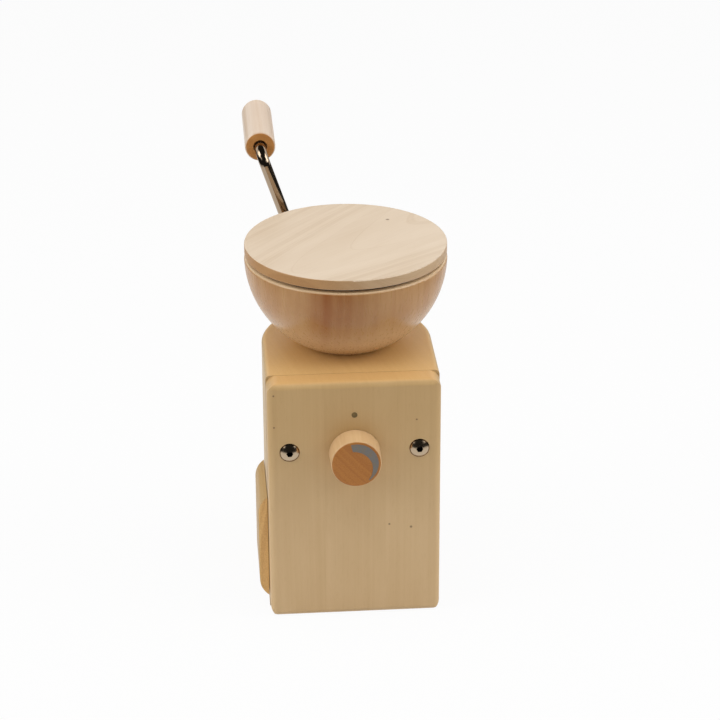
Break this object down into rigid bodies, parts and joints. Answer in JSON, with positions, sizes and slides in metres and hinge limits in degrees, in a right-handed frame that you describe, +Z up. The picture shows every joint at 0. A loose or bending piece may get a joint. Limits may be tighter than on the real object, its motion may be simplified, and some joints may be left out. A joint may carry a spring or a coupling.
{
  "type": "hand grain mill",
  "caption": "Wooden hand grain mill: round-backed housing, turned hopper with lid, fineness knob on the front panel, flour drawer in the side and a long rear crank.",
  "frame": {"origin": "on the table under the axis of the hopper and of the housing's round back", "axes": "+Z up; the front panel and knob face -Y, the crank is at +Y, the drawer pulls out towards -X"},
  "size_m": [0.1769, 0.3256, 0.3791],
  "materials": {
    "panel_wood": "oiled",
    "housing_wood": "oiled",
    "bowl_wood": "oiled",
    "lid_wood": "oiled",
    "knob_wood": "oiled",
    "grip_wood": "oiled",
    "drawer_wood": "oiled",
    "chrome": "polished",
    "steel": "turned",
    "dark_steel": "blackened",
    "brass": "turned",
    "millstone": "rough",
    "mark_grey": "printed",
    "dot_grey": "satin"
  },
  "bodies": {
    "housing": {"base_board": "housing_wood", "lower_housing": "housing_wood", "upper_housing": "housing_wood", "front_panel": "panel_wood", "panel_studs": "steel", "panel_nuts": "chrome", "index_dot": "dot_grey", "panel_bush": "brass", "panel_bush_screws": "steel", "plunger_key": "steel", "hopper_bowl": "bowl_wood", "inner_bearing": "brass", "rear_bearing": "brass", "fixed_stone": "millstone", "fixed_stone_plate": "steel", "fixed_stone_screws": "steel"},
    "plunger": {"adjusting_plunger": "steel"},
    "rotor": {"main_shaft": "steel", "thrust_ball": "steel", "running_stone": "millstone", "running_stone_plate": "steel", "drive_pin": "steel", "feed_auger": "steel", "crank_hub": "chrome", "crank_hub_pin": "steel", "crank_set_screw": "dark_steel", "crank_arm": "chrome", "grip_retaining_ring": "dark_steel"},
    "grip": {"crank_grip": "grip_wood", "grip_plug": "grip_wood"},
    "knob": {"adjusting_knob": "knob_wood", "setting_mark": "mark_grey", "adjusting_spindle": "steel"},
    "drawer": {"drawer_front": "drawer_wood", "drawer_left_side": "drawer_wood", "drawer_right_side": "drawer_wood", "drawer_end": "drawer_wood", "drawer_bottom": "drawer_wood"},
    "lid": {"lid_board": "lid_wood", "lid_liner": "lid_wood"}
  },
  "joints": [
    {"name": "knob_turn", "type": "hinge", "parent": "housing", "child": "knob", "pos_m": [0, -0.096, 0.16], "axis": [0, -1, 0], "range_deg": [0, 160]},
    {"name": "stone_feed", "type": "slide", "parent": "housing", "child": "plunger", "axis": [0, 1, 0], "range_m": [0, 0.00133]},
    {"name": "crank_turn", "type": "hinge", "parent": "plunger", "child": "rotor", "pos_m": [0, 0, 0.16], "axis": [0, 1, 0], "continuous": true},
    {"name": "grip_spin", "type": "hinge", "parent": "rotor", "child": "grip", "pos_m": [-0.0687, 0.113, 0.36531], "axis": [0, 1, 0], "continuous": true},
    {"name": "drawer_slide", "type": "slide", "parent": "housing", "child": "drawer", "axis": [-1, 0, 0], "range_m": [0, 0.115]},
    {"name": "lid_lift", "type": "slide", "parent": "housing", "child": "lid", "axis": [0, 0, 1], "range_m": [0, 0.06]}
  ],
  "couplings": [
    {"joint": "knob_turn", "follows": "stone_feed", "rad_per_m": 2094.4}
  ]
}
